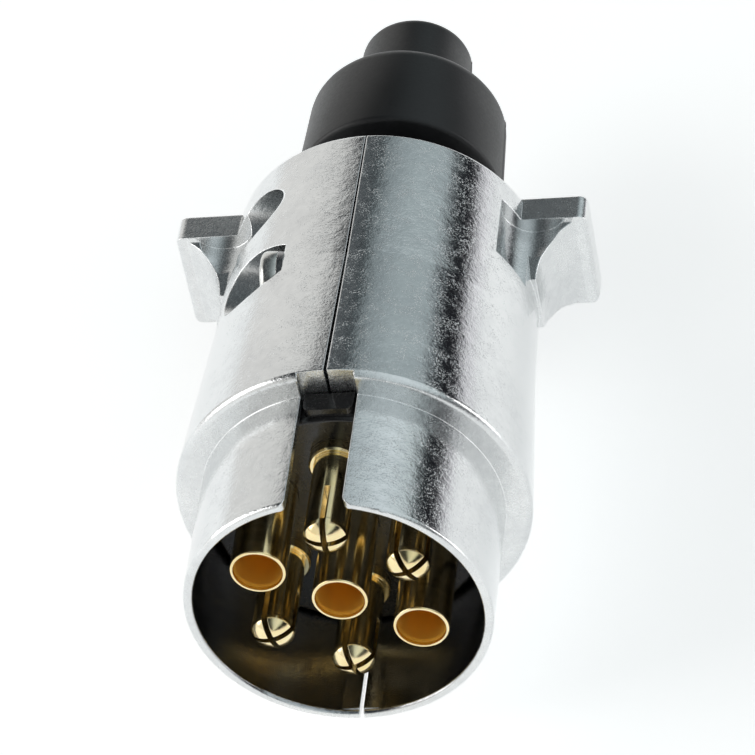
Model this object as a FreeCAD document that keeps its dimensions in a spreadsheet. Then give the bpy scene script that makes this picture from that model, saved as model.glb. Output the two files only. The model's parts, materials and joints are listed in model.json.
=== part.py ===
import FreeCAD, Part
import math
import os
import Sketcher

# Seven-way metal trailer plug.  The plug lies along Y: its mating mouth is at y = 0 and faces -Y,
# the cable leaves towards +Y, the keyway in the shroud is on top (+Z).  Millimetres throughout.

DOC = FreeCAD.newDocument("trailer_plug")
SHEET = DOC.addObject("Spreadsheet::Sheet", "Sheet")

SIZES = {
    # front shroud that slips over the socket
    "shroud_outer": 17.75,
    "shroud_inner": 16.6,
    "rim_round": 0.5,
    "keyway_half": 3.3,
    "keyway_end": 18.2,
    "keyway_corner": 1.1,
    "flat_half": 3.0,
    "flat_height": 0.16,
    # cast body behind it
    "body_front": 17.5,
    "body_face_edge": 20.05,
    "body_edge_round": 0.8,
    "body_front_radius": 20.85,
    "body_mid": 40.0,
    "body_mid_radius": 19.45,
    "body_rear": 62.0,
    "body_rear_radius": 18.7,
    "body_rear_round": 0.5,
    "joint_gap_front": 0.24,
    "joint_gap_rear": 0.09,
    # hollow inside the body
    "seat_front": 20.5,
    "seat_rear": 25.5,
    "seat_radius": 18.0,
    "seat_clear": 0.05,
    "room_radius": 17.4,
    "room_end": 36.2,
    "waist_radius": 16.6,
    "waist_end": 47.0,
    "tail_room_radius": 15.2,
    "rear_wall_front": 59.6,
    "cable_hole_radius": 8.0,
    "grip_rib_front": 47.4,
    "grip_rib_rear": 49.2,
    "grip_rib_hole": 7.4,
    # finger wings at the rear
    "wing_start": 16.5,
    "wing_tip": 25.4,
    "wing_half": 7.0,
    "wing_front": 58.3,
    "wing_corner": 1.2,
    "wing_edge_round": 0.7,
    "web_front": 50.8,
    "web_root": 19.4,
    "web_tip": 23.9,
    "web_curve": 9.0,
    "web_half_front": 3.9,
    "web_half_rear": 6.3,
    "scoop_radius": 4.0,
    "scoop_across": 19.25,
    "scoop_up": 8.85,
    "scoop_front": 48.4,
    # screws that hold the two halves together
    "front_screw_along": 41.4,
    "front_screw_up": 14.4,
    "front_pocket_radius": 4.0,
    "front_pocket_floor": 8.0,
    "rear_screw_along": 54.0,
    "rear_screw_up": 12.2,
    "rear_pocket_radius": 4.1,
    "rear_pocket_floor": 5.0,
    "pocket_wall": 1.0,
    "boss_radius": 3.3,
    "land_radius": 3.0,
    "case_screw_radius": 2.0,
    "case_thread_hole": 2.05,
    "case_plain_hole": 2.2,
    "case_screw_reach": 9.0,
    "case_hole_depth": 9.8,
    "case_head_radius": 3.35,
    "case_head_height": 2.1,
    "case_head_round": 0.7,
    "case_slot_width": 0.9,
    "case_slot_depth": 1.0,
    "spring_washer_inner": 2.12,
    "spring_washer_outer": 3.35,
    "spring_washer_thick": 0.8,
    "spring_washer_split": 0.7,
    # black contact insert
    "insert_radius": 16.3,
    "insert_front": 14.8,
    "insert_rear": 26.0,
    "insert_flange": 17.7,
    "insert_edge": 0.5,
    "key_half": 2.9,
    "key_front": 15.4,
    "key_rear": 18.0,
    "key_top": 17.3,
    "insert_wall_inner": 14.6,
    "insert_wall_rear": 28.2,
    "insert_post_half": 1.0,
    # brass contacts
    "contact_circle": 10.0,
    "contact_hole": 2.6,
    "contact_shank": 2.58,
    "tube_radius": 3.25,
    "tube_hole": 3.27,
    "tube_tip": 2.05,
    "tube_bore": 2.7,
    "tube_mouth": 2.9,
    "tube_mouth_depth": 0.8,
    "tube_bore_end": 13.6,
    "tube_edge": 0.2,
    "pin_radius": 2.55,
    "pin_tip": 1.0,
    "pin_shoulder": 2.42,
    "pin_dome": 3.1,
    "pin_slit": 0.7,
    "pin_slit_end": 7.9,
    "collar_radius": 3.15,
    "collar_front": 13.3,
    "barrel_radius": 3.0,
    "barrel_rear": 35.4,
    "centre_barrel_rear": 38.4,
    "barrel_edge": 0.3,
    "wire_hole": 1.7,
    "wire_hole_depth": 8.2,
    "clamp_along": 31.4,
    "centre_clamp_along": 35.4,
    "clamp_radius": 1.5,
    "clamp_hole": 1.55,
    "clamp_foot": 1.0,
    "clamp_top": 3.9,
    "clamp_slot_width": 0.6,
    "clamp_slot_depth": 0.8,
    # rubber boot
    "boot_bore": 4.1,
    "boot_tail_radius": 6.4,
    "boot_tail_front": 50.4,
    "boot_flange_radius": 8.7,
    "boot_flange_front": 57.6,
    "boot_groove_radius": 7.95,
    "boot_neck_radius": 9.8,
    "boot_cup_front": 71.7,
    "boot_cup_radius": 13.0,
    "boot_cup_rear": 87.2,
    "boot_cup_rear_radius": 12.35,
    "boot_shoulder": 2.2,
    "boot_nozzle_base": 7.35,
    "boot_nozzle_radius": 7.0,
    "boot_tip": 99.2,
    "boot_tip_round": 1.5,
}


# ---------------------------------------------------------------- sizes and formulas


def fill_sheet():
    for row, (word, value) in enumerate(SIZES.items(), start=1):
        SHEET.set("A%d" % row, word)
        SHEET.set("B%d" % row, str(value))
        SHEET.setAlias("B%d" % row, word)
    DOC.recompute()


def amount(text):
    """The number that a sum of named sizes comes to."""
    total = 0.0
    sign = 1.0
    for word in str(text).split():
        if word in ("+", "-"):
            sign = 1.0 if word == "+" else -1.0
            continue
        total += sign * (SIZES[word] if word in SIZES else float(word))
        sign = 1.0
    return total


def formula(text):
    """The same sum written for the document, reading the sheet."""
    words = [("Sheet." + word if word in SIZES else word) for word in str(text).split()]
    return " ".join(words)


def bind(item, prop, text):
    item.setExpression(prop, formula(text))


# ---------------------------------------------------------------- sketches


def arc_piece(start, end, radius, side):
    """Arc from start to end.  Side 1 bulges to the right of the way from start to end, -1 to the left."""
    dx = end[0] - start[0]
    dy = end[1] - start[1]
    chord = math.hypot(dx, dy)
    reach = side * math.sqrt(max(radius * radius - chord * chord / 4.0, 0.0)) / chord
    centre = FreeCAD.Vector((start[0] + end[0]) / 2.0 - reach * dy, (start[1] + end[1]) / 2.0 + reach * dx, 0)
    circle = Part.Circle(centre, FreeCAD.Vector(0, 0, 1), radius)
    start_angle = math.atan2(start[1] - centre.y, start[0] - centre.x)
    end_angle = math.atan2(end[1] - centre.y, end[0] - centre.x)
    if side > 0:
        return Part.ArcOfCircle(circle, start_angle, end_angle), (1, 2)
    return Part.ArcOfCircle(circle, end_angle, start_angle), (2, 1)


def draw_outline(sketch, corners):
    """Closed outline.  A corner is (across, along), or (across, along, radius, side) where the run
    from it to the next corner is an arc."""
    points = [(amount(corner[0]), amount(corner[1])) for corner in corners]
    count = len(corners)
    ends = []
    for i, corner in enumerate(corners):
        start = points[i]
        end = points[(i + 1) % count]
        if len(corner) == 4:
            piece, order = arc_piece(start, end, amount(corner[2]), corner[3])
        else:
            piece = Part.LineSegment(FreeCAD.Vector(start[0], start[1], 0), FreeCAD.Vector(end[0], end[1], 0))
            order = (1, 2)
        ends.append(order)
        sketch.addGeometry(piece, False)
    for i in range(count):
        j = (i + 1) % count
        sketch.addConstraint(Sketcher.Constraint("Coincident", i, ends[i][1], j, ends[j][0]))
    for i, corner in enumerate(corners):
        places = (("DistanceX", points[i][0], corner[0]), ("DistanceY", points[i][1], corner[1]))
        for kind, value, text in places:
            number = sketch.addConstraint(Sketcher.Constraint(kind, -1, 1, i, ends[i][0], value))
            if any(word in SIZES for word in str(text).split()):
                bind(sketch, "Constraints[%d]" % number, text)
        if len(corner) == 4:
            number = sketch.addConstraint(Sketcher.Constraint("Radius", i, amount(corner[2])))
            if corner[2] in SIZES:
                bind(sketch, "Constraints[%d]" % number, corner[2])


def sketch_on(body, role, corners):
    sketch = body.newObject("Sketcher::SketchObject", body.Name + "_outline")
    for feature in body.Origin.OriginFeatures:
        if feature.Role == role:
            sketch.AttachmentSupport = [(feature, "")]
    sketch.MapMode = "FlatFace"
    draw_outline(sketch, corners)
    return sketch


# ---------------------------------------------------------------- building blocks


def turned(name, corners):
    """Solid turned about Y from an outline of (radius, along) corners."""
    body = DOC.addObject("PartDesign::Body", name)
    sketch = sketch_on(body, "XY_Plane", corners)
    turn = body.newObject("PartDesign::Revolution", name + "_turn")
    turn.Profile = sketch
    turn.ReferenceAxis = (sketch, ["V_Axis"])
    turn.Angle = 360
    return body


def slab(name, role, corners, length, offset="0"):
    """Plate of the given length, centred on its sketch plane, then shifted along the plane's normal."""
    body = DOC.addObject("PartDesign::Body", name)
    sketch = sketch_on(body, role, corners)
    pad = body.newObject("PartDesign::Pad", name + "_pad")
    pad.Profile = sketch
    pad.Midplane = True
    bind(pad, "Length", length)
    letter = {"XY_Plane": "z", "XZ_Plane": "y", "YZ_Plane": "x"}[role]
    bind(body, "Placement.Base." + letter, offset)
    return body


def at(item, x="0", y="0", z="0"):
    for letter, text in zip("xyz", (x, y, z)):
        bind(item, "Placement.Base." + letter, text)
    return item


AIMS = {
    "+x": FreeCAD.Rotation(FreeCAD.Vector(0, 1, 0), 90),
    "-x": FreeCAD.Rotation(FreeCAD.Vector(0, 1, 0), -90),
    "+y": FreeCAD.Rotation(FreeCAD.Vector(1, 0, 0), -90),
    "+z": FreeCAD.Rotation(),
}


def rod(name, aim, radius, length, x="0", y="0", z="0"):
    """Cylinder that starts at the given point and runs the way of aim."""
    item = DOC.addObject("Part::Cylinder", name)
    item.Placement = FreeCAD.Placement(FreeCAD.Vector(), AIMS[aim])
    bind(item, "Radius", radius)
    bind(item, "Height", length)
    return at(item, x, y, z)


def block(name, size_x, size_y, size_z, x, y, z):
    """Box with its low corner at the given point."""
    item = DOC.addObject("Part::Box", name)
    bind(item, "Length", size_x)
    bind(item, "Width", size_y)
    bind(item, "Height", size_z)
    return at(item, x, y, z)


def fuse(name, items):
    item = DOC.addObject("Part::MultiFuse", name)
    item.Shapes = items
    return item


def cut(name, base, tools):
    item = DOC.addObject("Part::Cut", name)
    item.Base = base
    item.Tool = tools[0] if len(tools) == 1 else fuse(name + "_tools", tools)
    return item


def common(name, first, second):
    item = DOC.addObject("Part::Common", name)
    item.Base = first
    item.Tool = second
    return item


def mirrored(name, source):
    item = DOC.addObject("Part::Mirroring", name)
    item.Source = source
    item.Normal = FreeCAD.Vector(1, 0, 0)
    item.Base = FreeCAD.Vector(0, 0, 0)
    return item


PIECES = []


def finished(item, node):
    item.Label = node
    PIECES.append((node, item))
    return item


# ---------------------------------------------------------------- cast shell halves


def outer_form():
    return turned("outer_form", [
        ("0", "0"),
        ("shroud_outer - rim_round", "0", "rim_round", 1),
        ("shroud_outer", "rim_round"),
        ("shroud_outer", "body_front"),
        ("body_face_edge", "body_front", "body_edge_round", 1),
        ("body_front_radius", "body_front + body_edge_round"),
        ("body_mid_radius", "body_mid"),
        ("body_rear_radius", "body_rear - body_rear_round", "body_rear_round", 1),
        ("body_rear_radius - body_rear_round", "body_rear"),
        ("0", "body_rear"),
    ])


def inner_room(name, clear):
    """The hollow: shroud mouth, seat for the insert flange, wiring room and cable hole."""
    return turned(name, [
        ("0", "-1"),
        ("shroud_inner + rim_round", "-1"),
        ("shroud_inner + rim_round", "0", "rim_round", -1),
        ("shroud_inner", "rim_round"),
        ("shroud_inner", "seat_front - %s" % clear),
        ("seat_radius", "seat_front - %s" % clear),
        ("seat_radius", "seat_rear + %s" % clear),
        ("room_radius", "seat_rear + %s" % clear),
        ("room_radius", "room_end"),
        ("waist_radius", "waist_end"),
        ("tail_room_radius", "waist_end + 2"),
        ("tail_room_radius", "rear_wall_front"),
        ("cable_hole_radius", "rear_wall_front"),
        ("cable_hole_radius", "body_rear + 1"),
        ("0", "body_rear + 1"),
    ])


def wing():
    plan = slab("wing_plan", "XY_Plane", [
        ("wing_start", "web_front"),
        ("web_root", "web_front", "web_curve", -1),
        ("web_tip", "wing_front"),
        ("wing_tip - wing_edge_round", "wing_front", "wing_edge_round", 1),
        ("wing_tip", "wing_front + wing_edge_round"),
        ("wing_tip", "body_rear - body_rear_round", "body_rear_round", 1),
        ("wing_tip - body_rear_round", "body_rear"),
        ("wing_start", "body_rear"),
    ], "wing_half + wing_half")
    end = slab("wing_end", "XZ_Plane", [
        ("10", "0 - wing_half"),
        ("wing_tip - wing_corner", "0 - wing_half", "wing_corner", 1),
        ("wing_tip", "wing_corner - wing_half"),
        ("wing_tip", "wing_half - wing_corner", "wing_corner", 1),
        ("wing_tip - wing_corner", "wing_half"),
        ("10", "wing_half"),
    ], "30", "body_rear - 10")
    side = slab("wing_side", "YZ_Plane", [
        ("web_front", "0 - web_half_front"),
        ("wing_front - 0.2", "0 - web_half_rear"),
        ("wing_front", "0 - wing_half"),
        ("body_rear", "0 - wing_half"),
        ("body_rear", "wing_half"),
        ("wing_front", "wing_half"),
        ("wing_front - 0.2", "web_half_rear"),
        ("web_front", "web_half_front"),
    ], "40", "20")
    return common("wing_right", common("wing_rough", plan, end), side)


def shell_extras():
    """Bosses, pocket walls, cable-grip ribs and wall thickening kept inside the hollow."""
    items = []
    for tag in ("front", "rear"):
        along = tag + "_screw_along"
        up = tag + "_screw_up"
        items.append(rod(tag + "_boss", "+x", "boss_radius", "40", "-20", along, up))
        start = "0 - %s_pocket_floor + 1.4" % tag
        wall = "%s_pocket_radius + pocket_wall" % tag
        items.append(rod(tag + "_pocket_wall", "-x", wall, "20", start, along, up))
    rib = rod("grip_rib", "+y", "20", "grip_rib_rear - grip_rib_front", "0", "grip_rib_front", "0")
    hole = rod("grip_rib_opening", "+y", "grip_rib_hole", "10", "0", "grip_rib_front - 2", "0")
    items.append(cut("grip_rib_ring", rib, [hole]))
    items.append(block("flat_strip", "flat_half + flat_half", "insert_front - 1.2", "5",
                       "0 - flat_half", "0.6", "flat_height - shroud_inner - 5"))
    return items


def parting_relief(tag, side):
    """Thin wedge that opens the joint between the halves towards the mouth.  It leaves a flat land
    round each screw, where the halves meet at x = 0."""
    sign = "" if side > 0 else "0 - "
    wedge = slab("relief_wedge_" + tag, "XY_Plane", [
        ("%d" % -side, "-1"),
        (sign + "joint_gap_front", "-1"),
        (sign + "joint_gap_rear", "body_rear + 1"),
        ("%d" % -side, "body_rear + 1"),
    ], "60")
    lands = []
    for spot in ("front", "rear"):
        place = (spot + "_screw_along", spot + "_screw_up")
        lands.append(rod("land_%s_%s" % (tag, spot), "+x", "land_radius", "6", "-3", *place))
    return cut("relief_" + tag, wedge, lands)


def keyway(name):
    return slab(name, "XY_Plane", [
        ("0 - keyway_half - keyway_corner", "-1"),
        ("keyway_half + keyway_corner", "-1"),
        ("keyway_half + keyway_corner", "0", "keyway_corner", -1),
        ("keyway_half", "keyway_corner"),
        ("keyway_half", "keyway_end"),
        ("0 - keyway_half", "keyway_end"),
        ("0 - keyway_half", "keyway_corner", "keyway_corner", -1),
        ("0 - keyway_half - keyway_corner", "0"),
    ], "12", "shroud_inner + 2")


def scoop():
    """Finger scoops in the body's side, above and below the wing's web."""
    length = "wing_front - scoop_front"
    upper = rod("scoop_upper", "+y", "scoop_radius", length, "scoop_across", "scoop_front", "scoop_up")
    lower = rod("scoop_lower", "+y", "scoop_radius", length, "scoop_across", "scoop_front", "0 - scoop_up")
    return fuse("scoop_right", [upper, lower])


def shell_half(tag, side, envelope, extras, wing_piece, screw_cuts):
    """One cast half: half the hollow body with its wing, less the relief, keyway, scoop and screw holes."""
    clear = "0" if side > 0 else "seat_clear"
    room = cut("room_" + tag, inner_room("room_form_" + tag, clear), [extras])
    hollow = cut("hollow_" + tag, envelope, [room])
    space = block("space_" + tag, "40", "80", "60", "0" if side > 0 else "-40", "-5", "-30")
    half = common("half_" + tag, hollow, space)
    solid = fuse("solid_" + tag, [half, wing_piece])
    tools = [parting_relief(tag, side), keyway("keyway_" + tag)]
    finished(cut("shell_" + tag, solid, tools + screw_cuts), "shell_" + tag)


def shell_halves():
    envelope = outer_form()
    extras = fuse("inside_metal", shell_extras())
    right_wing = wing()
    right_scoop = scoop()
    right_cuts = [right_scoop]
    left_cuts = [mirrored("scoop_left", right_scoop)]
    for tag in ("front", "rear"):
        spot = (tag + "_screw_along", tag + "_screw_up")
        depth = "case_hole_depth + 1"
        right_cuts.append(rod(tag + "_thread_hole", "+x", "case_thread_hole", depth, "-1", *spot))
        left_cuts.append(rod(tag + "_plain_hole", "-x", "case_plain_hole", "20", "1", *spot))
        left_cuts.append(rod(tag + "_pocket", "-x", tag + "_pocket_radius", "30",
                             "0 - %s_pocket_floor" % tag, *spot))
    shell_half("right", 1, envelope, extras, right_wing, right_cuts)
    shell_half("left", -1, envelope, extras, mirrored("wing_left", right_wing), left_cuts)


# ---------------------------------------------------------------- contact insert


CONTACTS = [
    ("tube_contact_1", 0, 0.0, 0),
    ("tube_contact_2", 1, 150.0, 0),
    ("tube_contact_3", 1, -30.0, 0),
    ("split_pin_1", 1, 90.0, 1),
    ("split_pin_2", 1, 30.0, 1),
    ("split_pin_3", 1, -90.0, 1),
    ("split_pin_4", 1, -150.0, 1),
]


def place_contact(item, ring, angle):
    """Ring contacts stand on the contact circle at the given angle from +X."""
    if ring:
        item.setExpression("Placement.Base.x", "Sheet.contact_circle * cos(%g deg)" % angle)
        item.setExpression("Placement.Base.z", "Sheet.contact_circle * sin(%g deg)" % angle)
    return item


def contact_insert():
    disc = turned("insert_disc", [
        ("0", "insert_front"),
        ("insert_radius - insert_edge", "insert_front", "insert_edge", 1),
        ("insert_radius", "insert_front + insert_edge"),
        ("insert_radius", "seat_front"),
        ("insert_flange", "seat_front"),
        ("insert_flange", "seat_rear"),
        ("insert_radius", "seat_rear"),
        ("insert_radius", "insert_wall_rear"),
        ("insert_wall_inner", "insert_wall_rear"),
        ("insert_wall_inner", "insert_rear"),
        ("0", "insert_rear"),
    ])
    key = slab("insert_key", "XY_Plane", [
        ("0 - key_half", "key_front + 0.8", "0.8", 1),
        ("0.8 - key_half", "key_front"),
        ("key_half - 0.8", "key_front", "0.8", 1),
        ("key_half", "key_front + 0.8"),
        ("key_half", "key_rear"),
        ("0 - key_half", "key_rear"),
    ], "6", "key_top - 3")
    fins = []
    for number, angle in enumerate((0, 60, 120)):
        fin = block("insert_fin_%d" % number, "insert_radius + insert_radius - 4",
                    "insert_wall_rear - insert_rear + 1", "insert_post_half + insert_post_half",
                    "2 - insert_radius", "insert_rear - 1", "0 - insert_post_half")
        turn = FreeCAD.Rotation(FreeCAD.Vector(0, 1, 0), angle)
        keep = DOC.addObject("Part::Common", "insert_fin_turned_%d" % number)
        keep.Base = fin
        keep.Tool = block("insert_fin_room_%d" % number, "60", "60", "60", "-30", "0", "-30")
        keep.Placement = FreeCAD.Placement(FreeCAD.Vector(), turn)
        fins.append(keep)
    solid = fuse("insert_solid", [disc, key] + fins)
    holes = []
    for name, ring, angle, is_pin in CONTACTS:
        radius = "contact_hole" if is_pin else "tube_hole"
        hole = rod("hole_for_" + name, "+y", radius, "14", "0", "insert_front - 1", "0")
        holes.append(place_contact(hole, ring, angle))
        back = rod("barrel_room_" + name, "+y", "barrel_radius + 0.6", "6", "0", "insert_rear", "0")
        holes.append(place_contact(back, ring, angle))
    finished(cut("contact_insert", solid, holes), "contact_insert")


def terminal_outline(rear):
    """Rear end of every contact: a barrel behind the insert with a hole for the wire."""
    return [
        ("barrel_radius", "insert_rear"),
        ("barrel_radius", rear + " - barrel_edge"),
        ("barrel_radius - barrel_edge", rear),
        ("wire_hole", rear),
        ("wire_hole", rear + " - wire_hole_depth"),
        ("0", rear + " - wire_hole_depth"),
    ]


def with_clamp_hole(blank, node, angle, along):
    """Cross hole for the clamping screw, on the side that faces away from the plug's centre."""
    hole = rod("clamp_hole_" + node, "+x", "clamp_hole", "5", "0", along, "0")
    turn = FreeCAD.Rotation(FreeCAD.Vector(0, 1, 0), 90.0 - angle)
    hole.Placement = FreeCAD.Placement(FreeCAD.Vector(), turn)
    at(hole, "0", along, "0")
    return cut("drilled_" + node, blank, [hole])


def clamp_angle(ring, angle):
    return angle if ring else 60.0


def tube_contact(node, ring, angle):
    rear = "barrel_rear" if ring else "centre_barrel_rear"
    along = "clamp_along" if ring else "centre_clamp_along"
    tube = turned(node + "_turned", [
        ("0", "tube_bore_end"),
        ("tube_bore", "tube_bore_end"),
        ("tube_bore", "tube_tip + tube_mouth_depth"),
        ("tube_mouth", "tube_tip"),
        ("tube_radius - tube_edge", "tube_tip", "tube_edge", 1),
        ("tube_radius", "tube_tip + tube_edge"),
        ("tube_radius", "insert_rear"),
    ] + terminal_outline(rear))
    blank = with_clamp_hole(tube, node, clamp_angle(ring, angle), along)
    holder = DOC.addObject("Part::Compound", node)
    holder.Links = [blank]
    finished(place_contact(holder, ring, angle), node)


def split_pin(node, angle):
    pin = turned(node + "_turned", [
        ("0", "pin_tip", "pin_dome", 1),
        ("pin_shoulder", "pin_tip + 1.1", "1.1", 1),
        ("pin_radius", "pin_tip + 1.9"),
        ("pin_radius", "collar_front"),
        ("collar_radius - 0.2", "collar_front"),
        ("collar_radius", "collar_front + 0.2"),
        ("collar_radius", "insert_front"),
        ("contact_shank", "insert_front"),
        ("contact_shank", "insert_rear"),
    ] + terminal_outline("barrel_rear"))
    drilled = with_clamp_hole(pin, node, angle, "clamp_along")
    slits = []
    for number in (0, 1):
        slit = block("%s_slit_%d" % (node, number), "8", "pin_slit_end", "pin_slit", "-4", "0", "0 - pin_slit / 2")
        holder = DOC.addObject("Part::Compound", "%s_slit_turned_%d" % (node, number))
        holder.Links = [slit]
        holder.Placement = FreeCAD.Placement(
            FreeCAD.Vector(), FreeCAD.Rotation(FreeCAD.Vector(0, 1, 0), 90.0 * number + SLIT_TURN[node])
        )
        slits.append(holder)
    slitted = cut("slitted_" + node, drilled, slits)
    holder = DOC.addObject("Part::Compound", node)
    holder.Links = [slitted]
    finished(place_contact(holder, 1, angle), node)


# Each pin was pressed in at its own angle, so its crossed slits point their own way.
SLIT_TURN = {"split_pin_1": 1.0, "split_pin_2": -25.0, "split_pin_3": -16.0, "split_pin_4": -14.0}


def clamp_screw(node, ring, angle):
    """Grub screw, drawn along X from the contact's axis, then turned to point outwards."""
    length = "clamp_top - clamp_foot"
    shank = rod(node + "_shank", "+x", "clamp_radius", length, "clamp_foot", "0", "0")
    slot = block(node + "_slot", "4", "8", "clamp_slot_width", "clamp_top - clamp_slot_depth", "-4", "-0.3")
    screw = cut(node, shank, [slot])
    along = "clamp_along" if ring else "centre_clamp_along"
    turn = FreeCAD.Rotation(FreeCAD.Vector(0, 1, 0), -clamp_angle(ring, angle))
    screw.Placement = FreeCAD.Placement(FreeCAD.Vector(), turn)
    bind(screw, "Placement.Base.y", along)
    finished(place_contact(screw, ring, angle), node)


# ---------------------------------------------------------------- case screws and washers


def case_screw(tag):
    """Pan-head screw, drawn along +Y with its head's underside at 0, then laid along X."""
    floor = tag + "_pocket_floor"
    under = floor + " + spring_washer_thick"
    form = turned("case_screw_%s_turned" % tag, [
        ("0", "0 - case_head_height"),
        ("case_head_radius - case_head_round", "0 - case_head_height", "case_head_round", 1),
        ("case_head_radius", "case_head_round - case_head_height"),
        ("case_head_radius", "0"),
        ("case_screw_radius", "0"),
        ("case_screw_radius", under + " + case_screw_reach - 0.6"),
        ("case_screw_radius - 0.6", under + " + case_screw_reach"),
        ("0", under + " + case_screw_reach"),
    ])
    slot = block("case_screw_%s_slot" % tag, "8", "case_slot_depth", "case_slot_width",
                 "-4", "0 - case_head_height", "-0.45")
    screw = cut("case_screw_" + tag, form, [slot])
    screw.Placement = FreeCAD.Placement(FreeCAD.Vector(), FreeCAD.Rotation(FreeCAD.Vector(0, 0, 1), -90))
    at(screw, "0 - " + under.replace(" + ", " - "), tag + "_screw_along", tag + "_screw_up")
    finished(screw, "case_screw_" + tag)


def spring_washer(tag):
    ring = turned("spring_washer_%s_turned" % tag, [
        ("spring_washer_inner", "0"),
        ("spring_washer_outer", "0"),
        ("spring_washer_outer", "spring_washer_thick"),
        ("spring_washer_inner", "spring_washer_thick"),
    ])
    split = block("spring_washer_%s_split" % tag, "6", "6", "spring_washer_split", "0", "-2", "-0.35")
    washer = cut("spring_washer_" + tag, ring, [split])
    washer.Placement = FreeCAD.Placement(FreeCAD.Vector(), FreeCAD.Rotation(FreeCAD.Vector(0, 0, 1), -90))
    at(washer, "0 - %s_pocket_floor - spring_washer_thick" % tag, tag + "_screw_along", tag + "_screw_up")
    finished(washer, "spring_washer_" + tag)


# ---------------------------------------------------------------- rubber boot


def cable_boot():
    boot = turned("cable_boot", [
        ("boot_bore", "boot_tail_front"),
        ("boot_tail_radius - 0.6", "boot_tail_front", "0.6", 1),
        ("boot_tail_radius", "boot_tail_front + 0.6"),
        ("boot_tail_radius", "boot_flange_front"),
        ("boot_flange_radius", "boot_flange_front + 0.4"),
        ("boot_flange_radius", "rear_wall_front - seat_clear"),
        ("boot_groove_radius", "rear_wall_front - seat_clear"),
        ("boot_groove_radius", "body_rear + seat_clear"),
        ("boot_neck_radius", "body_rear + seat_clear"),
        ("boot_neck_radius", "boot_cup_front"),
        ("boot_cup_radius - 0.5", "boot_cup_front", "0.5", 1),
        ("boot_cup_radius", "boot_cup_front + 0.5"),
        ("boot_cup_rear_radius", "boot_cup_rear - boot_shoulder", "boot_shoulder", 1),
        ("boot_cup_rear_radius - boot_shoulder", "boot_cup_rear"),
        ("boot_nozzle_base", "boot_cup_rear"),
        ("boot_nozzle_radius", "boot_tip - boot_tip_round", "boot_tip_round", 1),
        ("boot_nozzle_radius - boot_tip_round", "boot_tip"),
        ("boot_bore", "boot_tip"),
    ])
    finished(boot, "cable_boot")


# ---------------------------------------------------------------- whole plug


def check_document():
    DOC.recompute()
    for item in DOC.Objects:
        if "Invalid" in item.State or "Error" in item.State:
            raise RuntimeError("failed object: " + item.Name)
    for node, item in PIECES:
        if item.Shape.isNull() or not item.Shape.isValid() or not item.Shape.Solids:
            raise RuntimeError("bad shape: " + node)


def write_pieces():
    os.makedirs("parts", exist_ok=True)
    for node, item in PIECES:
        item.Shape.exportStep("parts/%s.step" % node)
        box = item.Shape.BoundBox
        print("%-18s solids %d volume %8.1f  x %6.1f %6.1f  y %6.1f %6.1f  z %6.1f %6.1f" % (
            node, len(item.Shape.Solids), item.Shape.Volume,
            box.XMin, box.XMax, box.YMin, box.YMax, box.ZMin, box.ZMax))


fill_sheet()
shell_halves()
contact_insert()
for node_name, on_ring, ring_angle, pin in CONTACTS:
    if pin:
        split_pin(node_name, ring_angle)
    else:
        tube_contact(node_name, on_ring, ring_angle)
for screw_number, (node_name, on_ring, ring_angle, pin) in enumerate(CONTACTS, start=1):
    clamp_screw("terminal_screw_%d" % screw_number, on_ring, ring_angle)
for screw_tag in ("front", "rear"):
    case_screw(screw_tag)
    spring_washer(screw_tag)
cable_boot()
check_document()
write_pieces()
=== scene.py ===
import json
import math

import bpy
from mathutils import Matrix, Quaternion, Vector


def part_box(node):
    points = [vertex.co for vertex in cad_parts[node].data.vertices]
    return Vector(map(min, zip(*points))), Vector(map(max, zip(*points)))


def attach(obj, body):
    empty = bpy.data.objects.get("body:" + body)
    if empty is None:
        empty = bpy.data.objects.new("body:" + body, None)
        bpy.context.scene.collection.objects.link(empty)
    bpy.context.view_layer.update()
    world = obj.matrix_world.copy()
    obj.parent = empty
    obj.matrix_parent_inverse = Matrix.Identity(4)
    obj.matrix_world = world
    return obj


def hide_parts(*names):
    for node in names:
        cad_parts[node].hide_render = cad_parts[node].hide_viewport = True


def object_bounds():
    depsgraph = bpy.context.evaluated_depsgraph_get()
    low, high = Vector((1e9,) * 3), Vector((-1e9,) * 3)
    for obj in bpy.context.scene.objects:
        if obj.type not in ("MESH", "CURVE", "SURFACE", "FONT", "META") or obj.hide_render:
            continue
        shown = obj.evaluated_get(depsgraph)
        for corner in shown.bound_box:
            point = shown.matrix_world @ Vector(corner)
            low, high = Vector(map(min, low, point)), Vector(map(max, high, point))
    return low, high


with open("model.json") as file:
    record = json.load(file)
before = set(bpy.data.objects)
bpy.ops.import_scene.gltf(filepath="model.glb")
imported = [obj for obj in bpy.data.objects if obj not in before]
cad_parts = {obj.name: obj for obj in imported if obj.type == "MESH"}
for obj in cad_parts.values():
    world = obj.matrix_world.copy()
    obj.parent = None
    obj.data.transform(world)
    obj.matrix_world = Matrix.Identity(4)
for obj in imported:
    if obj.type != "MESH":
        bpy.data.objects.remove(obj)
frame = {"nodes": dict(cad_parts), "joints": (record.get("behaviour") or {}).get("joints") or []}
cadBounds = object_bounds()
nodes = frame["nodes"]
print("frame loaded with", len(nodes), "nodes")


def allOff():
    if bpy.context.object and bpy.context.object.mode != "OBJECT":
        bpy.ops.object.mode_set(mode="OBJECT")
    bpy.ops.object.select_all(action="DESELECT")


def only(piece):
    allOff()
    piece.select_set(True)
    bpy.context.view_layer.objects.active = piece


def give(piece, finish):
    piece.data.materials.clear()
    piece.data.materials.append(finish)


nearby = 1e-6  # two places closer than this are one, in metres


def pickBy(kind):
    bpy.context.tool_settings.mesh_select_mode = (kind == "VERT", kind == "EDGE", False)


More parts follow.
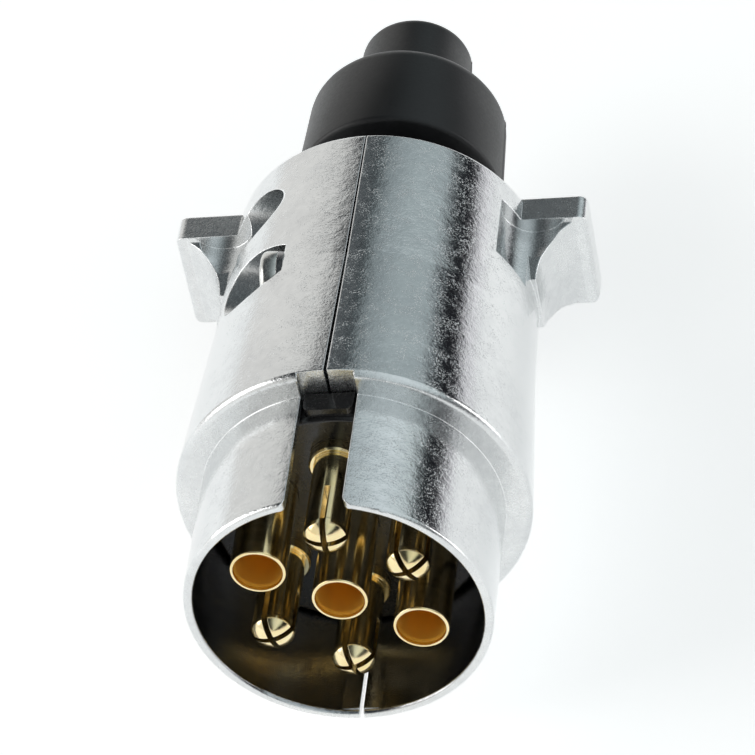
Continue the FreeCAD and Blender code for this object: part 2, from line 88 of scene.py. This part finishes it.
def pick(piece, wanted, kind="VERT"):
    # selects the points, or the edges between points, whose places wanted() says yes to
    only(piece)
    bpy.ops.object.mode_set(mode="EDIT")
    bpy.ops.mesh.select_all(action="DESELECT")
    bpy.ops.object.mode_set(mode="OBJECT")
    pickBy(kind)
    points = piece.data.vertices
    if kind == "VERT":
        for point in points:
            point.select = wanted(point.co)
    else:
        for edge in piece.data.edges:
            edge.select = all(wanted(points[number].co) for number in edge.vertices)
    bpy.ops.object.mode_set(mode="EDIT")


def traced(name, outline, closed=False):
    # one point pulled out corner by corner into an outline of (radius, along)
    allOff()
    bpy.ops.mesh.primitive_plane_add(size=0.01, location=(0, 0, 0))
    piece = bpy.context.object
    piece.name = name
    piece.data.name = name
    pickBy("VERT")  # a lone point can't be selected by edges
    bpy.ops.object.mode_set(mode="EDIT")
    bpy.ops.mesh.select_all(action="SELECT")
    bpy.ops.mesh.merge(type="CENTER")
    bpy.ops.transform.translate(value=(*outline[0], 0))
    for start, end in zip(outline, outline[1:]):
        step = (end[0] - start[0], end[1] - start[1], 0)
        bpy.ops.mesh.extrude_region_move(TRANSFORM_OT_translate={"value": step})
    if closed:
        ends = (outline[0], outline[-1])
        pick(piece, lambda at: any((at.xy - Vector(end)).length < nearby for end in ends))
        bpy.ops.mesh.edge_face_add()
    bpy.ops.object.mode_set(mode="OBJECT")
    return piece


def oneSkin(piece):
    # merges points that meet and turns every face outwards
    only(piece)
    bpy.ops.object.mode_set(mode="EDIT")
    bpy.ops.mesh.select_all(action="SELECT")
    bpy.ops.mesh.remove_doubles(threshold=nearby)
    bpy.ops.mesh.normals_make_consistent(inside=False)
    bpy.ops.object.mode_set(mode="OBJECT")


def spunRound(piece, steps):
    # turns an outline about the Y axis into a closed shape
    only(piece)
    bpy.ops.object.mode_set(mode="EDIT")
    bpy.ops.mesh.select_all(action="SELECT")
    bpy.ops.mesh.spin(steps=steps, angle=2 * math.pi, center=(0, 0, 0), axis=(0, 1, 0))
    oneSkin(piece)


def rounded(piece, radius, along, amount, segments):
    # rounds the ring-shaped edge at this radius and this place along the axis
    def onRing(at):
        return abs(math.hypot(at.x, at.z) - radius) < nearby and abs(at.y - along) < nearby
    pick(piece, onRing, "EDGE")
    bpy.ops.mesh.bevel(offset=amount, segments=segments, profile=0.5)
    bpy.ops.object.mode_set(mode="OBJECT")


def applied(piece, kind, **settings):
    only(piece)
    worker = piece.modifiers.new(kind.lower(), kind)
    for name, value in settings.items():
        setattr(worker, name, value)
    bpy.ops.object.modifier_apply(modifier=worker.name)


def smoothed(piece, degrees):
    only(piece)
    bpy.ops.object.shade_smooth_by_angle(angle=math.radians(degrees))


def standsFor(piece, node, body):
    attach(piece, body)
    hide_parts(node)


# sums written with wires become Math nodes
class Wire:
    def __init__(self, book, socket):
        self.book = book
        self.socket = socket

    def maths(self, operation, *others):
        inputs = {0: self}
        for place, other in enumerate(others):
            inputs[place + 1] = other
        return self.book.node("ShaderNodeMath", {"operation": operation}, inputs)

    def flipped(self, operation, other):
        return self.book.node("ShaderNodeMath", {"operation": operation}, {0: other, 1: self})

    def __add__(self, other):
        return self.maths("ADD", other)

    def __radd__(self, other):
        return self.flipped("ADD", other)

    def __sub__(self, other):
        return self.maths("SUBTRACT", other)

    def __rsub__(self, other):
        return self.flipped("SUBTRACT", other)

    def __mul__(self, other):
        return self.maths("MULTIPLY", other)

    def __truediv__(self, other):
        return self.maths("DIVIDE", other)

    def __pow__(self, other):
        return self.maths("POWER", other)

    def __lt__(self, other):
        return self.maths("LESS_THAN", other)


edgeSamples = 6


class Finish:
    # builds a node tree, a material's or the world's
    def __init__(self, tree):
        self.tree = tree
        tree.nodes.clear()

    def node(self, kind, settings=None, sockets=None, out=0):
        made = self.tree.nodes.new(kind)
        for name, value in (settings or {}).items():
            if name == "stops":
                self.fillRamp(made.color_ramp, value)
            else:
                setattr(made, name, value)
        for name, value in (sockets or {}).items():
            if isinstance(value, Wire):
                self.tree.links.new(value.socket, made.inputs[name])
            else:
                made.inputs[name].default_value = value
        return Wire(self, made.outputs[out]) if made.outputs else made

    def fillRamp(self, ramp, stops):
        while len(ramp.elements) > 1:
            ramp.elements.remove(ramp.elements[-1])
        for number, (place, colour) in enumerate(stops):
            stop = ramp.elements[0] if number == 0 else ramp.elements.new(place)
            stop.position = place
            stop.color = (*colour, 1)

    def place(self):
        return self.node("ShaderNodeTexCoord", out="Object")

    def stretched(self, scale, turn=(0, 0, 0)):
        sockets = {"Vector": self.place(), "Scale": scale, "Rotation": turn}
        return self.node("ShaderNodeMapping", {}, sockets)

    def noise(self, scale, detail=3, rough=0.55, coords=None):
        return self.node("ShaderNodeTexNoise", {}, {
            "Vector": coords or self.place(), "Scale": scale, "Detail": detail, "Roughness": rough,
        })

    def spots(self, scale, coords, out):
        return self.node("ShaderNodeTexVoronoi", {}, {"Vector": coords, "Scale": scale}, out)

    def sparse(self, scale, stretch, turn, share):
        # separate marks, in only this share of the pattern's cells
        lie = self.stretched(stretch, turn)
        lot = self.node("ShaderNodeSeparateColor", {}, {0: self.spots(scale, lie, "Color")})
        return self.spread(self.spots(scale, lie, "Distance"), 0.42, 0.10) * (lot < share)

    def spread(self, wire, low, high, toLow=0.0, toHigh=1.0):
        return self.node("ShaderNodeMapRange", {"clamp": True}, {
            "Value": wire, "From Min": low, "From Max": high, "To Min": toLow, "To Max": toHigh,
        })

    def tint(self, share, dark, pale):
        return self.node("ShaderNodeMix", {"data_type": "RGBA"}, {
            "Factor": share, 6: dark if isinstance(dark, Wire) else (*dark, 1),
            7: pale if isinstance(pale, Wire) else (*pale, 1),
        }, 2)

    def softened(self, radius):
        return self.node("ShaderNodeBevel", {"samples": edgeSamples}, {"Radius": radius})

    def agreement(self, one, other):
        # 1 where two directions are the same, -1 where they are opposite
        return self.node("ShaderNodeVectorMath", {"operation": "DOT_PRODUCT"}, {0: one, 1: other}, "Value")

    def edges(self, radius):
        # 0 on flat ground, rising on corners where handling has rubbed the surface
        soft = self.softened(radius)
        straight = self.node("ShaderNodeNewGeometry", out="Normal")
        return self.spread(self.agreement(soft, straight), 0.995, 0.85)

    def axes(self):
        # the place's three coordinates
        return [self.node("ShaderNodeSeparateXYZ", {}, {0: self.place()}, axis) for axis in "XYZ"]

    def facingOut(self):
        # 1 where the surface looks straight away from the plug's middle line
        across = {0: self.place(), 1: (1, 0, 1)}
        level = self.node("ShaderNodeVectorMath", {"operation": "MULTIPLY"}, across)
        outward = self.node("ShaderNodeVectorMath", {"operation": "NORMALIZE"}, {0: level})
        straight = self.node("ShaderNodeTexCoord", out="Normal")
        return self.agreement(outward, straight)

    def crevice(self, reach):
        # 1 deep in slots and corners, 0 where the surface is open; the brass paints shade with it
        settings = {"samples": edgeSamples}
        openness = self.node("ShaderNodeAmbientOcclusion", settings, {"Distance": reach}, "AO")
        return self.spread(openness, 0.55, 0.15)

    def bumped(self, height, under):
        sockets = {"Height": height, "Distance": 1.0, "Strength": 1.0, "Normal": under}
        return self.node("ShaderNodeBump", {}, sockets)

    def surface(self, sockets):
        body = self.node("ShaderNodeBsdfPrincipled", {}, sockets)
        self.node("ShaderNodeOutputMaterial", {}, {"Surface": body})


def newFinish(name):
    material = bpy.data.materials.new(name)
    material.use_nodes = True
    return material, Finish(material.node_tree)


castZincLook = {
    "pale": (0.80, 0.81, 0.81),
    "dull": (0.69, 0.70, 0.705),
    "rubbed": (0.95, 0.955, 0.96),
    # painted shade: darker grey for the walls that face the plug's middle line, inside the mouth
    "inside": (0.43, 0.43, 0.44),
    "roughLow": 0.05,
    "roughHigh": 0.12,
    "asCastRough": 0.30,    # inside, in the pockets and on the grips' faces, where no drum polished it
    "waveScale": 160,       # slow unevenness of the casting
    "waveDepth": 0.000050,
    "skinScale": 850,       # orange peel
    "skinDepth": 0.000032,
    "grainScale": 2900,     # fine blasted grain under the plating
    "grainDepth": 0.000016,
    "fleckScale": 5400,     # small bright nicks, in clumps
    "fleckDepth": 0.0000165,
    "clumpScale": 520,
    "scratchScale": 1500,   # short hairlines
    "scratchDepth": 0.0000014,
    "scratchShare": 0.035,
    "scratchTurns": (0.35, -0.9, 1.3),
    "patchScale": 90,
    "edgeRound": 0.00022,
}


def castZinc():
    look = castZincLook
    material, make = newFinish("castZinc")
    wave = make.noise(look["waveScale"], 3, 0.5)
    skin = make.noise(look["skinScale"], 4, 0.65)
    grain = make.noise(look["grainScale"], 3, 0.6)
    patches = make.noise(look["patchScale"], 5, 0.65)
    clumps = make.spread(make.noise(look["clumpScale"], 3, 0.6), 0.42, 0.60)
    flecks = make.spread(make.noise(look["fleckScale"], 2, 0.5), 0.575, 0.68) * clumps
    marks = flecks * look["fleckDepth"]
    for turn in look["scratchTurns"]:
        lie = (0.2, turn, turn * 0.7)
        scratches = make.sparse(look["scratchScale"], (1, 0.06, 1), lie, look["scratchShare"])
        marks = marks + scratches * look["scratchDepth"]
    worn = make.edges(look["edgeRound"])
    outward = make.facingOut()
    # walls that face the plug's middle line get painted shade in their colour, and stay smoother
    inwardShade = make.spread(outward, -0.5, -0.85)
    asCast = make.spread(outward, 0.97, 0.80) * (1 - inwardShade * 0.6)
    tone = make.spread(patches * 0.6 + skin * 0.4, 0.38, 0.62)
    # plating tone, with painted shade mixed in on the inward walls
    platedAndShaded = make.tint(inwardShade, make.tint(tone, look["dull"], look["pale"]), look["inside"])
    height = (
        wave * look["waveDepth"] + skin * look["skinDepth"]
        + grain * look["grainDepth"] + marks * (1 - asCast * 0.8)
    )
    rough = make.spread(patches * 0.5 + grain * 0.5, 0.36, 0.64, look["roughLow"], look["roughHigh"])
    make.surface({
        "Base Color": make.tint(worn, platedAndShaded, look["rubbed"]),
        "Metallic": 1.0,
        "Roughness": rough + asCast * (look["asCastRough"] - look["roughHigh"]) - worn * 0.04,
        "Normal": make.bumped(height, make.softened(look["edgeRound"])),
    })
    return material


brassLook = {
    "pale": (0.98, 0.84, 0.52),
    "dull": (0.90, 0.72, 0.37),
    "roughLow": 0.10,
    "roughHigh": 0.22,
    "tarnishScale": 260,
    "latheScale": 5200,
    "latheDepth": 0.0000035,
    "edgeRound": 0.00008,
    "rubbed": (1.0, 0.88, 0.60),
    # painted shade: near-black brown laid into the contacts' slots and corners by the occlusion mask
    "creviceShade": (0.07, 0.038, 0.014),
    "creviceShadeReach": 0.0008,
    "boreRadius": 0.00280,   # inside the tubes the drill left a duller, rougher face; the bore's orange tone is painted light bounced between the tube's brass walls
    "boreBounceTone": (0.98, 0.64, 0.12),
    "boreRough": 0.42,
    "boreMetal": 0.72,
}


def brass(boreCentres):
    look = brassLook
    material, make = newFinish("turnedBrass")
    tarnish = make.noise(look["tarnishScale"], 4, 0.6)
    lathe = make.noise(look["latheScale"], 2, 0.5, make.stretched((0.02, 1, 0.02)))
    worn = make.edges(look["edgeRound"])
    # occlusion mask for the painted shade in slots and corners; it also roughens them
    creviceShade = make.crevice(look["creviceShadeReach"])
    across, along, up = make.axes()
    bored = 0
    for middle in boreCentres:
        fromMiddle = (across - middle[0]) ** 2 + (up - middle[2]) ** 2
        bored = bored + (fromMiddle < look["boreRadius"] ** 2)
    bored = bored * (along < boreCentres[-1][1])
    tone = make.spread(tarnish, 0.35, 0.65)
    bright = make.tint(worn, make.tint(tone, look["dull"], look["pale"]), look["rubbed"])
    rough = make.spread(tarnish * 0.6 + lathe * 0.4, 0.35, 0.65, look["roughLow"], look["roughHigh"])
    make.surface({
        # inside the bores the colour is painted bounced light, over a duller, partly non-metal face
        "Base Color": make.tint(bored, make.tint(creviceShade, bright, look["creviceShade"]), look["boreBounceTone"]),
        "Metallic": 1 - bored * (1 - look["boreMetal"]),
        "Roughness": rough + creviceShade * 0.3 + bored * (look["boreRough"] - look["roughHigh"]),
        "Normal": make.bumped(lathe * look["latheDepth"], make.softened(look["edgeRound"])),
    })
    return material


insertLook = {
    "black": (0.012, 0.011, 0.011),
    "dusty": (0.038, 0.034, 0.032),
    "roughLow": 0.16,
    "roughHigh": 0.34,
    "dustScale": 1500,
    "flowScale": 180,
    "flowDepth": 0.000020,
    "edgeRound": 0.00015,
}


def insertBlack():
    look = insertLook
    material, make = newFinish("insertMoulding")
    flow = make.noise(look["flowScale"], 3, 0.5)
    dust = make.noise(look["dustScale"], 4, 0.7)
    make.surface({
        "Base Color": make.tint(make.spread(dust, 0.55, 0.75), look["black"], look["dusty"]),
        "Roughness": make.spread(dust * 0.5 + flow * 0.5, 0.4, 0.65, look["roughLow"], look["roughHigh"]),
        "Normal": make.bumped(flow * look["flowDepth"], make.softened(look["edgeRound"])),
    })
    return material


steelLook = {
    "platedScrew": ((0.84, 0.84, 0.82), (0.62, 0.62, 0.60)),   # its pale and its dull tone
    "springSteel": ((0.50, 0.50, 0.50), (0.34, 0.34, 0.35)),
    "rubbed": (0.93, 0.93, 0.92),
    "roughLow": 0.18,
    "roughHigh": 0.36,
    "patchScale": 500,
    "turnScale": 4200,
    "turnDepth": 0.0000040,
    "edgeRound": 0.00008,
}


def steel(name):
    look = steelLook
    pale, dull = look[name]
    material, make = newFinish(name)
    patches = make.noise(look["patchScale"], 4, 0.6)
    turning = make.noise(look["turnScale"], 2, 0.5, make.stretched((1, 0.4, 0.4)))
    worn = make.edges(look["edgeRound"])
    tone = make.spread(patches, 0.35, 0.65)
    rough = make.spread(patches * 0.5 + turning * 0.5, 0.35, 0.65, look["roughLow"], look["roughHigh"])
    make.surface({
        "Base Color": make.tint(worn, make.tint(tone, dull, pale), look["rubbed"]),
        "Metallic": 1.0,
        "Roughness": rough,
        "Normal": make.bumped(turning * look["turnDepth"], make.softened(look["edgeRound"])),
    })
    return material


bootLook = {
    "black": (0.0014, 0.0014, 0.0020),
    "bloom": (0.0050, 0.0050, 0.0060),
    "roughLow": 0.36,
    "roughHigh": 0.50,
    "cloudScale": 70,
    "grainScale": 2600,
    "grainDepth": 0.000009,
    "moundScale": 140,
    "moundDepth": 0.00003,
    "edgeRound": 0.0003,
}


def bootRubber():
    look = bootLook
    material, make = newFinish("bootRubber")
    grain = make.noise(look["grainScale"], 3, 0.6)
    mound = make.noise(look["moundScale"], 3, 0.5)
    cloud = make.noise(look["cloudScale"], 4, 0.6)
    tone = make.spread(cloud * 0.7 + grain * 0.3, 0.4, 0.7)
    height = grain * look["grainDepth"] + mound * look["moundDepth"]
    make.surface({
        "Base Color": make.tint(tone, look["black"], look["bloom"]),
        "Roughness": make.spread(cloud * 0.5 + grain * 0.5, 0.35, 0.65, look["roughLow"], look["roughHigh"]),
        "Normal": make.bumped(height, make.softened(look["edgeRound"])),
    })
    return material


tubeBoxes = [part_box(name) for name in nodes if name.startswith("tube_contact")]
contactBrass = brass([(low + high) / 2 for low, high in tubeBoxes])
screwSteel = steel("platedScrew")
rubber = bootRubber()
finishes = {
    "shell": castZinc(),
    "contact_insert": insertBlack(),
    "tube_contact": contactBrass,
    "split_pin": contactBrass,
    "terminal_screw": screwSteel,
    "case_screw": screwSteel,
    "spring_washer": steel("springSteel"),
    "cable_boot": rubber,
}
for name, piece in nodes.items():
    for start, finish in finishes.items():
        if name.startswith(start):
            give(piece, finish)
print("finishes given")


# radii, and places along the plug from the mouth's rim, in metres
bootForm = {
    "bore": 0.0041,
    "tail": 0.0064,
    "tailRound": 0.0006,
    "flange": 0.0087,
    "flangeFront": 0.0576,
    "flangeLead": 0.0004,
    "groove": 0.00795,
    "wallFront": 0.05955,
    "wallRear": 0.06205,
    "neck": 0.0098,
    "cupFront": 0.0717,
    "cupRear": 0.0872,
    "cupTaper": 0.00065,
    "lipRound": 0.0006,
    "shoulderRound": 0.0026,
    "nozzleBase": 0.00735,
    "nozzle": 0.0070,
    "nozzleRound": 0.0016,
    "filletRound": 0.0009,
    "mouthRound": 0.0005,
    "steps": 128,
    "flashWide": 0.00018,   # thin line that the two halves of the rubber mould left
    "flashHigh": 0.00010,
    "smoothUnder": 40,      # degrees
}


def cableBoot():
    form = bootForm
    low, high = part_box("cable_boot")
    cup = high.x
    cupRearRadius = cup - form["cupTaper"]
    boot = traced("moulded_cable_boot", (
        (form["bore"], low.y), (form["tail"], low.y),
        (form["tail"], form["flangeFront"]), (form["flange"], form["flangeFront"] + form["flangeLead"]),
        (form["flange"], form["wallFront"]), (form["groove"], form["wallFront"]),
        (form["groove"], form["wallRear"]), (form["neck"], form["wallRear"]),
        (form["neck"], form["cupFront"]), (cup, form["cupFront"]),
        (cupRearRadius, form["cupRear"]), (form["nozzleBase"], form["cupRear"]),
        (form["nozzle"], high.y), (form["bore"], high.y),
    ), closed=True)
    spunRound(boot, form["steps"])
    rings = (
        (form["tail"], low.y, form["tailRound"], 3),
        (cup, form["cupFront"], form["lipRound"], 4),
        (cupRearRadius, form["cupRear"], form["shoulderRound"], 8),
        (form["nozzleBase"], form["cupRear"], form["filletRound"], 4),
        (form["nozzle"], high.y, form["nozzleRound"], 6),
        (form["bore"], high.y, form["mouthRound"], 3),
    )
    for radius, along, amount, segments in rings:
        rounded(boot, radius, along, amount, segments)

    flashStart = form["wallRear"] + nearby * 10
    flashEnd = high.y - form["nozzleRound"] + nearby * 10

    def onFlash(at):
        outside = abs(at.x) > (form["bore"] + form["nozzle"]) / 2
        return abs(at.z) < nearby and flashStart < at.y < flashEnd and outside
    pick(boot, onFlash, "EDGE")
    bpy.ops.mesh.bevel(offset=form["flashWide"], segments=2, profile=0.5)
    pick(boot, onFlash)
    bpy.ops.transform.shrink_fatten(value=form["flashHigh"])
    bpy.ops.object.mode_set(mode="OBJECT")
    smoothed(boot, form["smoothUnder"])
    give(boot, rubber)
    standsFor(boot, "cable_boot", "boot")


# crest and root are the thread's radii, point is the bevel at the tip
screwForms = {
    "case_screw": {
        "crest": 0.0020, "root": 0.00168, "pitch": 0.0007, "point": 0.0006,
        "headWide": 0.00335, "headHigh": 0.0021, "headRound": 0.0007, "underRound": 0.00012,
        "slotWide": 0.0009, "slotDeep": 0.0010, "steps": 48,
        "threadFrom": 0.0008,    # how far the thread starts from the joint of the halves
    },
    "terminal_screw": {
        "crest": 0.0015, "root": 0.00122, "pitch": 0.0005, "point": 0.00022, "length": 0.0029,
        "slotWide": 0.0006, "slotDeep": 0.0008, "steps": 32,
        "threadFrom": 0.00040,   # how far the thread starts from the slotted end
    },
}
threadTooth = {
    "halfBase": 0.42,    # shares of the pitch
    "halfCrown": 0.07,
    "sunk": 0.00004,     # how deep the tooth reaches into the core
}
screwSmoothUnder = 35


def threadRidge(form, start, turns):
    # a thread's tooth wound round the screw, its ends tapered down into the core
    half = form["pitch"] * threadTooth["halfBase"]
    crown = form["pitch"] * threadTooth["halfCrown"]
    sunk = form["root"] - threadTooth["sunk"]
    ridge = traced("thread_ridge", (
        (sunk, start - half), (form["crest"], start - crown),
        (form["crest"], start + crown), (sunk, start + half),
    ), closed=True)
    applied(ridge, "SCREW", axis="Y", angle=2 * math.pi, screw_offset=form["pitch"], iterations=turns,
            steps=form["steps"], render_steps=form["steps"], use_normal_calculate=True)
    inward = form["root"] - form["crest"]
    for place in (start, start + form["pitch"] * turns):
        pick(ridge, lambda at: abs(at.z) < nearby and at.x > 0 and abs(at.y - place) < half + nearby)
        bpy.ops.mesh.merge(type="CENTER")
        bpy.ops.transform.translate(value=(inward, 0, 0))
    oneSkin(ridge)
    return ridge


def slotCut(piece, form, top):
    # the screwdriver slot lies along X, its floor slotDeep below the end at top
    allOff()
    cut = (form["crest"] * 6, form["slotDeep"] * 2, form["slotWide"])
    bpy.ops.mesh.primitive_cube_add(size=1, location=(0, top, 0), scale=cut)
    bpy.ops.object.transform_apply(location=True, rotation=True, scale=True)
    sawn = bpy.context.object
    applied(piece, "BOOLEAN", operation="DIFFERENCE", solver="EXACT", object=sawn)
    bpy.data.objects.remove(sawn)


def threadedScrew(name, form, length, threadStart):
    # drawn along +Y: the head's underside or the slotted end at 0, the point at length
    headed = "headWide" in form
    top = -form["headHigh"] if headed else 0
    tip = form["root"] - form["point"]
    if headed:
        outline = [(0, top), (form["headWide"], top), (form["headWide"], 0), (form["root"], 0)]
    else:
        outline = [(0, 0), (tip, 0), (form["root"], form["point"])]
    outline += [(form["root"], length - form["point"]), (tip, length), (0, length)]
    screw = traced(name, outline)
    spunRound(screw, form["steps"])
    if headed:
        rounded(screw, form["headWide"], top, form["headRound"], 5)
        rounded(screw, form["headWide"], 0, form["underRound"], 2)
    turns = int((length - form["point"] - threadStart) / form["pitch"])
    ridge = threadRidge(form, threadStart, turns)
    slotCut(screw, form, top)
    if not headed:
        slotCut(ridge, form, top)
    only(screw)
    ridge.select_set(True)
    bpy.ops.object.join()
    smoothed(screw, screwSmoothUnder)
    give(screw, screwSteel)
    return screw


def laid(piece, forward, slotWay, start):
    # turns a screw drawn along +Y to point forward from start, its slot along slotWay
    third = slotWay.cross(forward)
    turn = Matrix((slotWay, forward, third)).transposed().to_4x4()
    piece.data.transform(Matrix.Translation(start) @ turn)


def caseScrews():
    form = screwForms["case_screw"]
    for spot in ("front", "rear"):
        low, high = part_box("case_screw_" + spot)
        middle = (low + high) / 2
        underside = low.x + form["headHigh"]
        length = high.x - underside
        threadStart = form["threadFrom"] - underside
        screw = threadedScrew("case_screw_%s_threaded" % spot, form, length, threadStart)
        laid(screw, Vector((1, 0, 0)), Vector((0, -1, 0)), Vector((underside, middle.y, middle.z)))
        standsFor(screw, "case_screw_" + spot, "screw_" + spot)


def terminalScrews():
    form = screwForms["terminal_screw"]
    master = threadedScrew("terminal_screw_master", form, form["length"], form["threadFrom"])
    for joint in frame["joints"]:
        if not joint["name"].startswith("terminal_screw"):
            continue
        node = joint["name"].removesuffix("_travel")
        low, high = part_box(node)
        outward = Vector(joint["axis"]).normalized()
        screw = bpy.data.objects.new(node + "_threaded", master.data.copy())
        bpy.context.collection.objects.link(screw)
        laid(screw, -outward, Vector((0, 1, 0)), (low + high) / 2 + outward * form["length"] / 2)
        standsFor(screw, node, node.replace("terminal_screw", "terminal"))
    bpy.data.objects.remove(master)


cableBoot()
print("boot moulded")
caseScrews()
terminalScrews()
print("screws threaded")


studio = {
    "floorSize": 6.0,
    "floorTone": (0.84, 0.835, 0.825),
    "floorRough": 0.9,
    "floorGlow": 0.53,
    "worldStrength": 1.0,
    "backdrop": (0.98, 0.98, 0.98),
    # brightness round the plug's axis: degrees from straight up towards the right half, then the colour
    "rearCards": (
        (-180, (0.86, 0.85, 0.84)), (-60, (0.84, 0.835, 0.815)), (-33, (0.76, 0.76, 0.74)),
        (-27, (0.50, 0.50, 0.49)), (-23, (0.035, 0.037, 0.04)), (-15, (0.035, 0.04, 0.042)),
        (-13, (0.20, 0.22, 0.23)), (-11.5, (0.20, 0.22, 0.23)), (-9, (0.04, 0.045, 0.05)),
        (-4, (0.05, 0.06, 0.065)), (2, (0.21, 0.245, 0.255)), (10, (0.285, 0.335, 0.35)),
        (26, (0.385, 0.45, 0.465)), (49, (0.385, 0.45, 0.465)), (56, (0.18, 0.20, 0.21)),
        (60, (0.014, 0.015, 0.018)), (77, (0.014, 0.015, 0.018)),
        (81, (0.74, 0.74, 0.77)), (88, (0.90, 0.895, 0.93)), (180, (0.92, 0.915, 0.95)),
    ),
    "frontCards": (
        (-180, (0.86, 0.85, 0.84)), (-60, (0.81, 0.81, 0.79)), (-44, (0.73, 0.73, 0.71)),
        (-38, (0.035, 0.037, 0.04)), (-8, (0.05, 0.06, 0.065)), (2, (0.28, 0.325, 0.335)),
        (10, (0.53, 0.60, 0.62)), (36, (0.75, 0.83, 0.86)), (54, (0.61, 0.69, 0.70)),
        (64, (0.014, 0.015, 0.018)), (81, (0.014, 0.015, 0.018)),
        (86, (0.74, 0.74, 0.77)), (92, (0.90, 0.895, 0.93)), (180, (0.92, 0.915, 0.95)),
    ),
    "cardsMeet": (0.735, 0.758),  # share of the direction along the plug where the front cards give way
}

bpy.ops.mesh.primitive_plane_add(size=studio["floorSize"], location=(0, 0, 0))
floor = bpy.context.object
floor.name = "floor"
floor.data.transform(Matrix.Translation((0, 0, cadBounds[0][2])))
floorFinish, make = newFinish("floorPaper")
make.surface({
    "Base Color": (*studio["floorTone"], 1),
    "Roughness": studio["floorRough"],
    "Emission Color": (1, 1, 1, 1),
    "Emission Strength": studio["floorGlow"],
})
give(floor, floorFinish)

world = bpy.data.worlds.new("studioRoom")
world.use_nodes = True
bpy.context.scene.world = world
make = Finish(world.node_tree)
direction = make.node("ShaderNodeTexCoord", out="Generated")
sideways, lengthways, upwards = (
    make.node("ShaderNodeSeparateXYZ", {}, {0: direction}, axis) for axis in ("X", "Y", "Z")
)
around = sideways.maths("ARCTAN2", upwards) / (2 * math.pi) + 0.5


def cards(name):
    stops = [((angle + 180) / 360, colour) for angle, colour in studio[name]]
    return make.node("ShaderNodeValToRGB", {"stops": stops}, {"Fac": around})


room = make.tint(make.spread(lengthways, *studio["cardsMeet"]), cards("frontCards"), cards("rearCards"))
seen = make.node("ShaderNodeLightPath", out="Is Camera Ray")
shown = make.tint(seen, room, studio["backdrop"])
sky = make.node("ShaderNodeBackground", {}, {"Color": shown, "Strength": studio["worldStrength"]})
make.node("ShaderNodeOutputWorld", {}, {"Surface": sky})

lampsAim = (0, 0.045, 0)
lamps = {
    "leftPanel": {"from": (-0.62, -0.10, 0.34), "width": 0.5, "power": 1.6},
    "rightPanel": {"from": (0.70, 0.10, 0.12), "width": 0.4, "power": 1.0},
}
for name, lamp in lamps.items():
    bpy.ops.object.light_add(type="AREA", location=lamp["from"])
    panel = bpy.context.object
    panel.name = name
    panel.data.size = lamp["width"]
    panel.data.energy = lamp["power"]
    shining = Vector(lampsAim) - Vector(lamp["from"])
    panel.rotation_euler = shining.to_track_quat("-Z", "Y").to_euler()

cameraSet = {
    "aim": (0.00036, 0.04027, -0.00111),
    "distance": 0.570,
    "azimuth": 13.9115,
    "elevation": 41.7977,
    "roll": 12.1719,
    "lens": 227.19,
    "sensor": 36,
    "nearest": 0.01,
}
bpy.ops.object.camera_add()
camera = bpy.context.object
azimuth = math.radians(cameraSet["azimuth"])
elevation = math.radians(cameraSet["elevation"])
looking = Vector((
    -math.sin(azimuth) * math.cos(elevation),
    math.cos(azimuth) * math.cos(elevation),
    -math.sin(elevation),
))
rolled = Quaternion((0, 0, 1), math.radians(-cameraSet["roll"]))
camera.rotation_mode = "QUATERNION"
camera.rotation_quaternion = looking.to_track_quat("-Z", "Y") @ rolled
camera.location = Vector(cameraSet["aim"]) - looking * cameraSet["distance"]
camera.data.lens = cameraSet["lens"]
camera.data.sensor_width = cameraSet["sensor"]
camera.data.clip_start = cameraSet["nearest"]
bpy.context.scene.camera = camera
bpy.context.scene.view_settings.view_transform = "Standard"
print("studio ready")
